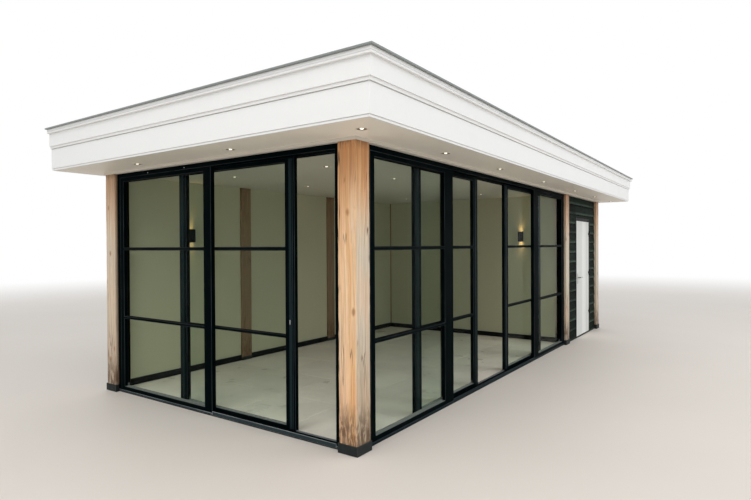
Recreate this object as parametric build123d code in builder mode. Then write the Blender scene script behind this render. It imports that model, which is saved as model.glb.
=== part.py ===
from build123d import *
import os

# Garden office pod, in millimetres, +Z up, standing on the ground at z = 0.
# Plan positions are measured from the outer corner of the front left post:
# x runs right along the front, y runs back along the left end.

# Driving dimensions: plan
length = 8085
depth = 3657
post = 185
overhang = 542
back_overhang = 271
storage_width = 2280
back_post_1_x = 1887
back_post_2_x = 3805

# Driving dimensions: heights
floor_top = 30
foot_height = 80
shoe = 8
wrap = 28
roof_top = 3000

# Driving dimensions: glazing
recess = 35
frame_depth = 110
head_height = 46
jamb_width = 58
leaf_thickness = 42
fixed_thickness = 50
leaf_step = 56
rail_height = 45
outer_stile = 65
wide_stile = 115
bar_height = 25
bar_low_z = 864
bar_high_z = 1649
front_stile = 190
glass_thickness = 10
glass_set = 27
fixed_glass_set = 40
slide_clearance = 6
running_gap = 0.3
track_width = 6
groove_width = 20
groove_depth = 8
lip_depth = 6
lip_height = 16
pull_z = 1010
pull_height = 90
pull_width = 18
pull_out = 3

# Driving dimensions: where the leaves stand in the photograph
left_mullion_y = 1810
left_leaf_width = 1642
left_leaf_y = 747
front_mullion_x = 1560
front_mullion_d_set = 1305
front_leaf_width = 1430
front_leaf_b_x = 1059
front_leaf_c_set = 982

# Driving dimensions: walls and storage door
wall_thickness = 80
cladding_thickness = 20
inner_step = 25
partition_thickness = 100
skirting_height = 80
skirting_thickness = 14
door_side = 456
door_width = 864
door_frame = 50
door_top = 2100
door_thickness = 40
door_gap_hinge = 6
door_gap_free = 9
threshold_height = 24
hinge_radius = 7
hinge_set = 13
hinge_height = 110
hinge_plate = 38
hinge_inset = 3
hinge_first = 410
hinge_pitch = 730
hinge_count = 3
lever_z = 1080
lever_inset = 50
lever_reach = 44
lever_length = 135
lever_thickness = 16
lever_height = 20
rose_width = 40
rose_height = 180
rose_thickness = 6
spindle_radius = 11

# Driving dimensions: roof, its rows from the top down
edge_height = 15
cap_height = 44
cap_set = 522
upper_height = 141
upper_set = 498
strip_height = 25
strip_set = 486
lower_height = 220
lower_set = 475
trim_height = 20
trim_set = 468
back_row = 8
rim_thickness = 45
rim_set = 450
rim_back = 25
soffit_thickness = 18
ceiling_thickness = 25
bead_out = 12
deck_drop = 96
deck_thickness = 30

# Driving dimensions: lights
spot_radius = 42
spot_ring = 52
spot_depth = 60
spot_side = 183
spot_front = 195
spot_pitch_x = 1328
spot_pitch_y = 1450
room_spot_x = 1010
room_spot_y = 1145
room_pitch_x = 1318
room_pitch_y = 1444
spot_lip = 3
spot_wall = 6
spot_cup = 25
back_lamp_x = 1038
back_lamp_z = 1813
side_lamp_y = 768
side_lamp_z = 1813
lamp_width = 70
lamp_height = 170
lamp_depth = 70

# The model is centred under its roof.
roof_back = depth + back_overhang
ox = -length / 2
oy = -(roof_back - overhang) / 2

low = (Align.MIN, Align.MIN, Align.MIN)
mid_post_x = length - storage_width
edge_z = roof_top - edge_height
cap_z = edge_z - cap_height
upper_z = cap_z - upper_height
strip_z = upper_z - strip_height
lower_z = strip_z - lower_height
soffit_z = lower_z - trim_height
ceiling_z = soffit_z - ceiling_thickness
deck_z = edge_z - deck_drop
head_z = ceiling_z - head_height
fixed_face = recess
slide_face = recess + leaf_step
fixed_glass_face = fixed_face + fixed_glass_set
slide_glass_face = slide_face + glass_set
frame_back = recess + frame_depth
door_face = recess
post_places = [
    (0, 0),
    (mid_post_x, 0),
    (length - post, 0),
    (0, depth - post),
    (back_post_1_x, depth - post),
    (back_post_2_x, depth - post),
    (mid_post_x, depth - post),
    (length - post, depth - post),
]


def block(x0, x1, y0, y1, z0, z1, mode=Mode.ADD):
    """Adds one box, given by its limits in plan and height, to the open part."""
    with Locations((x0 + ox, y0 + oy, z0)):
        Box(x1 - x0, y1 - y0, z1 - z0, align=low, mode=mode)


def leaf_x(x0, width, face, thick, z0, z1, first, last, grooved):
    """Adds a glazed leaf's frame along the front, with two glazing bars."""
    block(x0, x0 + width, face, face + thick, z0, z1)
    inner0, inner1 = x0 + first, x0 + width - last
    sides = [
        (glass_low, bar_low_z - bar_height / 2),
        (bar_low_z + bar_height / 2, bar_high_z - bar_height / 2),
        (bar_high_z + bar_height / 2, glass_high),
    ]
    for side0, side1 in sides:
        block(inner0, inner1, face, face + thick, side0, side1, Mode.SUBTRACT)
    if grooved:
        mid = face + thick / 2
        half = groove_width / 2
        block(x0, x0 + width, mid - half, mid + half, z0, z0 + groove_depth, Mode.SUBTRACT)


def panes_x(x0, width, near, first, last):
    """Adds the three panes of a leaf along the front."""
    inner0, inner1 = x0 + first, x0 + width - last
    block(inner0, inner1, near, near + glass_thickness, glass_low, bar_low_z - bar_height / 2)
    block(
        inner0, inner1, near, near + glass_thickness,
        bar_low_z + bar_height / 2, bar_high_z - bar_height / 2,
    )
    block(inner0, inner1, near, near + glass_thickness, bar_high_z + bar_height / 2, glass_high)


def leaf_y(y0, width, face, thick, z0, z1, first, last, grooved):
    """Adds a glazed leaf's frame along the left end, with two glazing bars."""
    block(face, face + thick, y0, y0 + width, z0, z1)
    inner0, inner1 = y0 + first, y0 + width - last
    sides = [
        (glass_low, bar_low_z - bar_height / 2),
        (bar_low_z + bar_height / 2, bar_high_z - bar_height / 2),
        (bar_high_z + bar_height / 2, glass_high),
    ]
    for side0, side1 in sides:
        block(face, face + thick, inner0, inner1, side0, side1, Mode.SUBTRACT)
    if grooved:
        mid = face + thick / 2
        half = groove_width / 2
        block(mid - half, mid + half, y0, y0 + width, z0, z0 + groove_depth, Mode.SUBTRACT)


def panes_y(y0, width, near, first, last):
    """Adds the three panes of a leaf along the left end."""
    inner0, inner1 = y0 + first, y0 + width - last
    block(near, near + glass_thickness, inner0, inner1, glass_low, bar_low_z - bar_height / 2)
    block(
        near, near + glass_thickness, inner0, inner1,
        bar_low_z + bar_height / 2, bar_high_z - bar_height / 2,
    )
    block(near, near + glass_thickness, inner0, inner1, bar_high_z + bar_height / 2, glass_high)


def roof_ring(out, z0, z1):
    """Adds one row of the fascia round the roof, against the timber rim."""
    block(-out, length + out, -out, roof_back - back_row, z0, z1)
    block(
        -rim_set, length + rim_set, -rim_set, rim_y1, z0, z1, Mode.SUBTRACT,
    )


glass_low = floor_top + rail_height
glass_high = head_z - rail_height
leaf_low = floor_top + slide_clearance
leaf_high = head_z - slide_clearance
track_top = leaf_low + groove_depth - running_gap
back_inner = depth - post + inner_step
back_outer = depth - recess - cladding_thickness
end_outer = length - recess - cladding_thickness
end_inner = end_outer - wall_thickness
front_core = recess + cladding_thickness
front_inner = front_core + wall_thickness
storage_x0 = mid_post_x + post
storage_x1 = length - post
rail_mid = slide_face + leaf_thickness / 2
rim_y1 = roof_back - back_row - rim_back
door_x = storage_x1 - door_side - door_width

# Floor, inside the frames and walls
with BuildPart() as floor_slab:
    block(frame_back, end_inner, frame_back, back_inner, 0, floor_top)
    block(storage_x0, storage_x1, front_inner, frame_back, 0, floor_top)
    for px, py in post_places:
        block(px, px + post, py, py + post, 0, floor_top, Mode.SUBTRACT)

# Posts and their steel shoes
with BuildPart() as oak_posts:
    for px, py in post_places:
        block(px, px + post, py, py + post, foot_height, soffit_z)

with BuildPart() as post_shoes:
    for px, py in post_places:
        block(px, px + post, py, py + post, 0, foot_height)
        if py == 0:
            block(px - shoe, px + post + shoe, -shoe, wrap, 0, foot_height)
        else:
            block(px - shoe, px + post + shoe, depth - wrap, depth + shoe, 0, foot_height)
        if px == 0:
            block(-shoe, wrap, py - shoe, py + post + shoe, 0, foot_height)
        if px == length - post:
            block(length - wrap, length + shoe, py - shoe, py + post + shoe, 0, foot_height)

# Left end: outer frame
left_end_y0 = post
left_end_y1 = depth - post
with BuildPart() as left_frame:
    block(recess, frame_back, left_end_y0, left_end_y1, head_z, ceiling_z)
    block(
        frame_back - lip_depth, frame_back,
        left_end_y0 + jamb_width, left_end_y1 - jamb_width, head_z - lip_height, head_z,
    )
    block(recess, frame_back, left_end_y0, left_end_y0 + jamb_width, floor_top, head_z)
    block(recess, frame_back, left_end_y1 - jamb_width, left_end_y1, floor_top, head_z)

with BuildPart() as left_frame_sill:
    block(recess, frame_back, left_end_y0, left_end_y1, 0, floor_top)
    block(
        rail_mid - track_width / 2, rail_mid + track_width / 2,
        left_end_y0 + jamb_width, left_end_y1 - jamb_width, floor_top, track_top,
    )

# Left end: fixed light and sliding leaf
left_fixed_width = left_end_y1 - jamb_width - left_mullion_y
with BuildPart() as left_fixed_light:
    leaf_y(
        left_mullion_y, left_fixed_width, fixed_face, fixed_thickness, floor_top, head_z,
        wide_stile, outer_stile, False,
    )

with BuildPart() as left_fixed_glass:
    panes_y(left_mullion_y, left_fixed_width, fixed_glass_face, wide_stile, outer_stile)

with BuildPart() as left_leaf_frame:
    leaf_y(
        left_leaf_y, left_leaf_width, slide_face, leaf_thickness, leaf_low, leaf_high,
        wide_stile, wide_stile, True,
    )

with BuildPart() as left_leaf_glass:
    panes_y(left_leaf_y, left_leaf_width, slide_glass_face, wide_stile, wide_stile)

with BuildPart() as left_leaf_pull:
    block(
        slide_face - pull_out, slide_face,
        left_leaf_y + wide_stile / 2 - pull_width / 2, left_leaf_y + wide_stile / 2 + pull_width / 2,
        pull_z - pull_height / 2, pull_z + pull_height / 2,
    )

# Front: outer frame
front_x0 = post
front_x1 = mid_post_x
front_leaf_c_x = front_x1 - jamb_width - front_leaf_c_set - front_leaf_width
with BuildPart() as front_frame:
    block(front_x0, front_x1, recess, frame_back, head_z, ceiling_z)
    block(
        front_x0 + jamb_width, front_x1 - jamb_width,
        frame_back - lip_depth, frame_back, head_z - lip_height, head_z,
    )
    block(front_x0, front_x0 + jamb_width, recess, frame_back, floor_top, head_z)
    block(front_x1 - jamb_width, front_x1, recess, frame_back, floor_top, head_z)

with BuildPart() as front_frame_sill:
    block(front_x0, front_x1, recess, frame_back, 0, floor_top)
    block(
        front_x0 + jamb_width, front_x1 - jamb_width,
        rail_mid - track_width / 2, rail_mid + track_width / 2, floor_top, track_top,
    )

# Front: two fixed lights and two sliding leaves
front_fixed_a_width = front_mullion_x + front_stile - front_x0 - jamb_width
front_fixed_d_width = front_mullion_d_set + front_stile - jamb_width
front_fixed_d_x = front_x1 - jamb_width - front_fixed_d_width
with BuildPart() as front_fixed_lights:
    leaf_x(
        front_x0 + jamb_width, front_fixed_a_width, fixed_face, fixed_thickness,
        floor_top, head_z, outer_stile, front_stile, False,
    )
    leaf_x(
        front_fixed_d_x, front_fixed_d_width, fixed_face, fixed_thickness,
        floor_top, head_z, front_stile, outer_stile, False,
    )

with BuildPart() as front_fixed_glass:
    panes_x(
        front_x0 + jamb_width, front_fixed_a_width, fixed_glass_face, outer_stile, front_stile,
    )
    panes_x(front_fixed_d_x, front_fixed_d_width, fixed_glass_face, front_stile, outer_stile)

with BuildPart() as front_leaf_b_frame:
    leaf_x(
        front_leaf_b_x, front_leaf_width, slide_face, leaf_thickness, leaf_low, leaf_high,
        wide_stile, wide_stile, True,
    )

with BuildPart() as front_leaf_b_glass:
    panes_x(front_leaf_b_x, front_leaf_width, slide_glass_face, wide_stile, wide_stile)

with BuildPart() as front_leaf_b_pull:
    pull_b = front_leaf_b_x + front_leaf_width - wide_stile / 2
    block(
        pull_b - pull_width / 2, pull_b + pull_width / 2, slide_face - pull_out, slide_face,
        pull_z - pull_height / 2, pull_z + pull_height / 2,
    )

with BuildPart() as front_leaf_c_frame:
    leaf_x(
        front_leaf_c_x, front_leaf_width, slide_face, leaf_thickness, leaf_low, leaf_high,
        wide_stile, wide_stile, True,
    )

with BuildPart() as front_leaf_c_glass:
    panes_x(front_leaf_c_x, front_leaf_width, slide_glass_face, wide_stile, wide_stile)

with BuildPart() as front_leaf_c_pull:
    pull_c = front_leaf_c_x + wide_stile / 2
    block(
        pull_c - pull_width / 2, pull_c + pull_width / 2, slide_face - pull_out, slide_face,
        pull_z - pull_height / 2, pull_z + pull_height / 2,
    )

# Walls: a core inside and a layer of black boards outside
hole_x0 = door_x - door_frame
hole_x1 = door_x + door_width + door_frame
hole_top = door_top + door_frame
with BuildPart() as front_wall:
    block(storage_x0, storage_x1, front_core, front_inner, 0, ceiling_z)
    block(hole_x0, hole_x1, front_core, front_inner, 0, hole_top, Mode.SUBTRACT)

with BuildPart() as front_cladding:
    block(storage_x0, storage_x1, recess, front_core, 0, ceiling_z)
    block(hole_x0, hole_x1, recess, front_core, 0, hole_top, Mode.SUBTRACT)

with BuildPart() as end_wall:
    block(end_inner, end_outer, post, depth - post, 0, ceiling_z)

with BuildPart() as end_cladding:
    block(end_outer, length - recess, post, depth - post, 0, ceiling_z)

bays = [
    (post, back_post_1_x),
    (back_post_1_x + post, back_post_2_x),
    (back_post_2_x + post, mid_post_x),
    (mid_post_x + post, length - post),
]
with BuildPart() as back_wall:
    for bay0, bay1 in bays:
        block(bay0, bay1, back_inner, back_outer, 0, ceiling_z)

with BuildPart() as back_cladding:
    for bay0, bay1 in bays:
        block(bay0, bay1, back_outer, depth - recess, 0, ceiling_z)

with BuildPart() as partition:
    block(mid_post_x, mid_post_x + partition_thickness, post, depth - post, floor_top, ceiling_z)

with BuildPart() as skirting:
    for bay0, bay1 in bays[:3]:
        block(
            bay0, bay1, back_inner - skirting_thickness, back_inner,
            floor_top, floor_top + skirting_height,
        )
    block(
        mid_post_x - skirting_thickness, mid_post_x, frame_back, depth - post,
        floor_top, floor_top + skirting_height,
    )

# Storage door
hinge_levels = [hinge_first + i * hinge_pitch for i in range(hinge_count)]
with BuildPart() as storage_door_frame:
    block(hole_x0, hole_x1, recess, front_inner, 0, hole_top)
    block(door_x, door_x + door_width, recess, front_inner, threshold_height, door_top, Mode.SUBTRACT)

leaf_x0 = door_x + door_gap_free
leaf_x1 = door_x + door_width - door_gap_hinge
door_z0 = threshold_height + door_gap_hinge
door_z1 = door_top - door_gap_hinge
with BuildPart() as storage_door_leaf:
    block(leaf_x0, leaf_x1, door_face, door_face + door_thickness, door_z0, door_z1)

hinge_x = door_x + door_width - door_gap_hinge / 2
hinge_y = door_face - hinge_set
knuckle = (hinge_height - 2 * running_gap) / 3
plate_y = hinge_y - hinge_inset
with BuildPart() as storage_hinges:
    for level in hinge_levels:
        for shift in [-hinge_height / 2, hinge_height / 2 - knuckle]:
            with BuildSketch(Plane.XY.offset(level + shift)):
                with Locations((hinge_x + ox, hinge_y + oy)):
                    Circle(hinge_radius)
            extrude(amount=knuckle)
            block(
                door_x + door_width, door_x + door_width + hinge_plate, plate_y, door_face,
                level + shift, level + shift + knuckle,
            )

rose_x = leaf_x0 + lever_inset
rose_face = door_face - rose_thickness
lever_face = rose_face - lever_reach
with BuildPart() as storage_door_fittings:
    for level in hinge_levels:
        with BuildSketch(Plane.XY.offset(level - knuckle / 2)):
            with Locations((hinge_x + ox, hinge_y + oy)):
                Circle(hinge_radius)
        extrude(amount=knuckle)
        block(
            leaf_x1 - hinge_plate, hinge_x, plate_y, door_face,
            level - knuckle / 2, level + knuckle / 2,
        )
    block(
        rose_x - rose_width / 2, rose_x + rose_width / 2, rose_face, door_face,
        lever_z - rose_height * 0.6, lever_z + rose_height * 0.4,
    )
    with BuildSketch(Plane.XZ.offset(-(rose_face + oy))):
        with Locations((rose_x + ox, lever_z)):
            Circle(spindle_radius)
    extrude(amount=lever_reach)
    block(
        rose_x - spindle_radius, rose_x - spindle_radius + lever_length,
        lever_face - lever_thickness, lever_face,
        lever_z - lever_height / 2, lever_z + lever_height / 2,
    )

# Places of the recessed spots: along the front, down both ends and inside the room
half_row = length / 2 + spot_side
row_x = [i * spot_pitch_x - spot_side for i in range(int(half_row / spot_pitch_x))]
column_count = int((depth + spot_front) / spot_pitch_y - 0.5) + 1
column_y = [i * spot_pitch_y - spot_front for i in range(1, column_count)]
outer_spots = [(length / 2, -spot_front)]
for sx in row_x:
    outer_spots += [(sx, -spot_front), (length - sx, -spot_front)]
for sy in column_y:
    outer_spots += [(-spot_side, sy), (length + spot_side, sy)]
room_count_x = int((mid_post_x - 2 * spot_ring - room_spot_x) / room_pitch_x) + 1
room_count_y = int((back_inner - 2 * spot_ring - room_spot_y) / room_pitch_y) + 1
inner_spots = [
    (room_spot_x + i * room_pitch_x, room_spot_y + k * room_pitch_y)
    for i in range(room_count_x) for k in range(room_count_y)
]

# Ceiling, soffit and the bead where the walls meet the soffit
with BuildPart() as ceiling:
    block(recess, length - recess, recess, depth - recess, ceiling_z, soffit_z)
    for px, py in post_places:
        block(px, px + post, py, py + post, ceiling_z, soffit_z, Mode.SUBTRACT)
    with BuildSketch(Plane.XY.offset(ceiling_z)):
        for sx, sy in inner_spots:
            with Locations((sx + ox, sy + oy)):
                Circle(spot_radius)
    extrude(amount=soffit_z - ceiling_z, mode=Mode.SUBTRACT)

with BuildPart() as soffit_bead:
    block(-bead_out, length + bead_out, -bead_out, depth + bead_out, ceiling_z, soffit_z)
    block(recess, length - recess, recess, depth - recess, ceiling_z, soffit_z, Mode.SUBTRACT)
    for px, py in post_places:
        block(px, px + post, py, py + post, ceiling_z, soffit_z, Mode.SUBTRACT)

with BuildPart() as soffit:
    block(-rim_set, length + rim_set, -rim_set, rim_y1, soffit_z, soffit_z + soffit_thickness)
    with BuildSketch(Plane.XY.offset(soffit_z)):
        for sx, sy in outer_spots + inner_spots:
            with Locations((sx + ox, sy + oy)):
                Circle(spot_radius)
    extrude(amount=soffit_thickness, mode=Mode.SUBTRACT)

# Roof rim, deck, fascia rows and metal edge
rim_z = soffit_z + soffit_thickness
with BuildPart() as roof_rim:
    block(-rim_set, length + rim_set, -rim_set, rim_y1, rim_z, edge_z)
    block(
        -rim_set + rim_thickness, length + rim_set - rim_thickness,
        -rim_set + rim_thickness, rim_y1 - rim_thickness, rim_z, edge_z, Mode.SUBTRACT,
    )

with BuildPart() as roof_deck:
    block(
        -rim_set + rim_thickness, length + rim_set - rim_thickness,
        -rim_set + rim_thickness, rim_y1 - rim_thickness, deck_z, deck_z + deck_thickness,
    )

with BuildPart() as fascia_cap:
    roof_ring(cap_set, cap_z, edge_z)

with BuildPart() as fascia_upper:
    roof_ring(upper_set, upper_z, cap_z)

with BuildPart() as fascia_strip:
    roof_ring(strip_set, strip_z, upper_z)

with BuildPart() as fascia_lower:
    roof_ring(lower_set, lower_z, strip_z)

with BuildPart() as fascia_trim:
    roof_ring(trim_set, soffit_z, lower_z)

with BuildPart() as roof_edge:
    block(-overhang, length + overhang, -overhang, roof_back, edge_z, roof_top)
    block(
        -rim_set + rim_thickness, length + rim_set - rim_thickness,
        -rim_set + rim_thickness, rim_y1 - rim_thickness, edge_z, roof_top, Mode.SUBTRACT,
    )

# Recessed spots: a ring under the board and a can in the hole
with BuildPart() as spots:
    for spot_list, face_z in [(outer_spots, soffit_z), (inner_spots, ceiling_z)]:
        for sx, sy in spot_list:
            with BuildSketch(Plane.XY.offset(face_z - spot_lip)):
                with Locations((sx + ox, sy + oy)):
                    Circle(spot_ring)
            extrude(amount=spot_lip)
            with BuildSketch(Plane.XY.offset(face_z)):
                with Locations((sx + ox, sy + oy)):
                    Circle(spot_radius)
            extrude(amount=spot_depth)
            with BuildSketch(Plane.XY.offset(face_z - spot_lip)):
                with Locations((sx + ox, sy + oy)):
                    Circle(spot_radius - spot_wall)
            extrude(amount=spot_cup, mode=Mode.SUBTRACT)

# Up and down wall lights
with BuildPart() as wall_lights:
    block(
        back_lamp_x - lamp_width / 2, back_lamp_x + lamp_width / 2,
        back_inner - lamp_depth, back_inner,
        back_lamp_z - lamp_height / 2, back_lamp_z + lamp_height / 2,
    )
    block(
        mid_post_x - lamp_depth, mid_post_x,
        side_lamp_y - lamp_width / 2, side_lamp_y + lamp_width / 2,
        side_lamp_z - lamp_height / 2, side_lamp_z + lamp_height / 2,
    )

pieces = {
    "floor_slab": floor_slab,
    "oak_posts": oak_posts,
    "post_shoes": post_shoes,
    "left_frame": left_frame,
    "left_frame_sill": left_frame_sill,
    "left_fixed_light": left_fixed_light,
    "left_fixed_glass": left_fixed_glass,
    "left_leaf_frame": left_leaf_frame,
    "left_leaf_glass": left_leaf_glass,
    "left_leaf_pull": left_leaf_pull,
    "front_frame": front_frame,
    "front_frame_sill": front_frame_sill,
    "front_fixed_lights": front_fixed_lights,
    "front_fixed_glass": front_fixed_glass,
    "front_leaf_b_frame": front_leaf_b_frame,
    "front_leaf_b_glass": front_leaf_b_glass,
    "front_leaf_b_pull": front_leaf_b_pull,
    "front_leaf_c_frame": front_leaf_c_frame,
    "front_leaf_c_glass": front_leaf_c_glass,
    "front_leaf_c_pull": front_leaf_c_pull,
    "front_wall": front_wall,
    "front_cladding": front_cladding,
    "end_wall": end_wall,
    "end_cladding": end_cladding,
    "back_wall": back_wall,
    "back_cladding": back_cladding,
    "partition": partition,
    "skirting": skirting,
    "storage_door_frame": storage_door_frame,
    "storage_door_leaf": storage_door_leaf,
    "storage_hinges": storage_hinges,
    "storage_door_fittings": storage_door_fittings,
    "ceiling": ceiling,
    "soffit_bead": soffit_bead,
    "soffit": soffit,
    "roof_rim": roof_rim,
    "roof_deck": roof_deck,
    "fascia_cap": fascia_cap,
    "fascia_upper": fascia_upper,
    "fascia_strip": fascia_strip,
    "fascia_lower": fascia_lower,
    "fascia_trim": fascia_trim,
    "roof_edge": roof_edge,
    "spots": spots,
    "wall_lights": wall_lights,
}

os.makedirs("parts", exist_ok=True)
for label, piece in pieces.items():
    piece.part.label = label
    export_step(piece.part, "parts/" + label + ".step")
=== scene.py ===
"""Finishes and fine pieces of a garden office pod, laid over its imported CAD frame."""
import math
import random

import bmesh
import bpy
from bpy.props import FloatProperty, FloatVectorProperty, IntProperty, PointerProperty
from mathutils import Matrix, Vector


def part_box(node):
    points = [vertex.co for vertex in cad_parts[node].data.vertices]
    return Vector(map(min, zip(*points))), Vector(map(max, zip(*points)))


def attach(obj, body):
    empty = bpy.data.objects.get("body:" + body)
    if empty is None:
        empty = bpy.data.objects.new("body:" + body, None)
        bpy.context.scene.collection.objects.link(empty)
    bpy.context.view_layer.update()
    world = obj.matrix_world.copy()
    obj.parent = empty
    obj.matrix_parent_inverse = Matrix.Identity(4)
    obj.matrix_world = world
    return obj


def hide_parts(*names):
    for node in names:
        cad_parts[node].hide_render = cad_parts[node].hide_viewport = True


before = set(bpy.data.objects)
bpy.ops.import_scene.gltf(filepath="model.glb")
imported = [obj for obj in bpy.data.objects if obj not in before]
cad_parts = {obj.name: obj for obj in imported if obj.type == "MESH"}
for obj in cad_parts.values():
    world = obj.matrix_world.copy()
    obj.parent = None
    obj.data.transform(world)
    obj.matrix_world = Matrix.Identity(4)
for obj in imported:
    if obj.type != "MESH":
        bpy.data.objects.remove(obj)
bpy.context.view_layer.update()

bl_info = {
    "name": "Garden office pod",
    "version": (1, 0, 0),
    "blender": (4, 5, 0),
    "location": "View3D > Sidebar > Pod",
    "description": "Builds the finishes and fine pieces of a garden office pod",
    "category": "Object",
}

BUILDING = "building"
LEAVES = {
    "left_leaf": "left_sliding_leaf",
    "front_leaf_b": "front_sliding_leaf_b",
    "front_leaf_c": "front_sliding_leaf_c",
}
DOOR = "storage_door"
POD_MIDDLE = Vector((0.0, 0.0, 1.2))


# Settings


def metres(name, description, default, low, high):
    """A size setting in metres, with its default and its limits."""
    return FloatProperty(
        name=name, description=description, default=default, min=low, max=high, unit="LENGTH",
    )


def paint(name, description, colour):
    """A colour setting with its name, what it is for, and its default."""
    return FloatVectorProperty(
        name=name, description=description, subtype="COLOR", size=3, min=0.0, max=1.0,
        default=colour,
    )


class PodSizes(bpy.types.PropertyGroup):
    """Sizes of the fine pieces."""

    board_pitch: metres("Board pitch", "Height of one black board that shows", 0.17, 0.05, 0.4)
    board_step: metres(
        "Board step", "How far each black board's lower edge stands out", 0.011, 0.0, 0.02)
    door_board_pitch: metres(
        "Door board pitch", "Width of one upright board of the storage door", 0.096, 0.03, 0.4)
    tile_size: metres("Floor tile", "Side of one square floor tile and its joint", 0.8, 0.1, 2.0)
    tile_joint: metres("Tile joint", "Width of the joint between floor tiles", 0.004, 0.0, 0.02)
    frame_edge: metres(
        "Frame edge", "Radius of the rounded edges of the black frames", 0.004, 0.0005, 0.01)
    post_edge: metres("Post edge", "Width of the worn edges of the oak posts", 0.006, 0.001, 0.02)
    shadow_gap: metres(
        "Shadow gap", "Height of the open line under the middle row of the fascia",
        0.0035, 0.0, 0.02)
    gasket_width: metres("Gasket", "Width of the rubber strip round each pane", 0.005, 0.001, 0.01)
    membrane_sheet: metres(
        "Membrane sheet", "Width of one sheet of the roof membrane", 1.05, 0.3, 3.0)
    seed: IntProperty(
        name="Seed", description="Seed of the small differences between boards", default=7, min=0,
    )


class PodColours(bpy.types.PropertyGroup):
    """Colours of the finishes."""

    # The faint blue-green in the frames' black is a painted reflection of green surroundings.
    frame_black: paint("Frames", "Powder coat of the glazing frames", (0.0010, 0.0030, 0.0036))
    # The frames' edge colour is a painted highlight on their rounded strips.
    frame_edge: paint("Frame edges", "Light on the frames' rounded edges", (0.070, 0.082, 0.088))
    board_black: paint("Boards", "Black stain of the boards", (0.0062, 0.0112, 0.0084))
    board_scuff: paint("Scuffs", "Grey where the stain has rubbed thin", (0.036, 0.054, 0.040))
    oak_pale: paint("Pale oak", "Light wood between the streaks", (0.92, 0.68, 0.45))
    oak_warm: paint("Warm oak", "Orange streaks of the oak", (0.82, 0.475, 0.225))
    oak_rose: paint("Rose oak", "Pink streaks of the oak", (0.85, 0.53, 0.39))
    oak_grey: paint("Grey oak", "Weathered wood", (0.66, 0.58, 0.46))
    oak_dark: paint("Dark oak", "Checks, knots and stains", (0.110, 0.060, 0.030))
    fascia_white: paint("Fascia", "Satin white of the fascia", (0.83, 0.83, 0.82))
    # The soffit's warm beige tint is painted bounce light from the floor.
    soffit_white: paint("Soffit", "Matt paint of the soffit", (0.87, 0.82, 0.725))
    ceiling_white: paint("Ceiling", "Matt paint of the ceiling", (0.60, 0.575, 0.49))
    wall_grey: paint("Walls", "Paint of the room's walls", (0.45, 0.435, 0.305))
    tile_beige: paint("Tiles", "Floor tiles", (0.72, 0.665, 0.58))
    joint_grey: paint("Joints", "Joints between the floor tiles", (0.16, 0.15, 0.135))
    edge_grey: paint("Roof edge", "Metal along the top of the roof", (0.215, 0.235, 0.23))
    membrane_grey: paint("Membrane", "Sheet on the roof", (0.060, 0.062, 0.066))
    door_white: paint("Door", "White of the storage door", (0.76, 0.77, 0.745))
    glass_green: paint("Glass", "Faint green of the glass", (0.84, 0.90, 0.865))
    steel: paint("Steel", "Satin steel of pulls and hinges", (0.55, 0.55, 0.53))
    lamp_warm: paint("Lamp light", "Warm light of the lamps", (1.0, 0.56, 0.20))


def colours():
    """The colours set for this scene."""
    return bpy.context.scene.pod_colours


def rgba(colour):
    """A colour as a socket value."""
    return (*colour, 1.0)


# Node help

NODE_WIDE, NODE_HIGH, NODE_ROWS = 170, 180, 5


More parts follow.
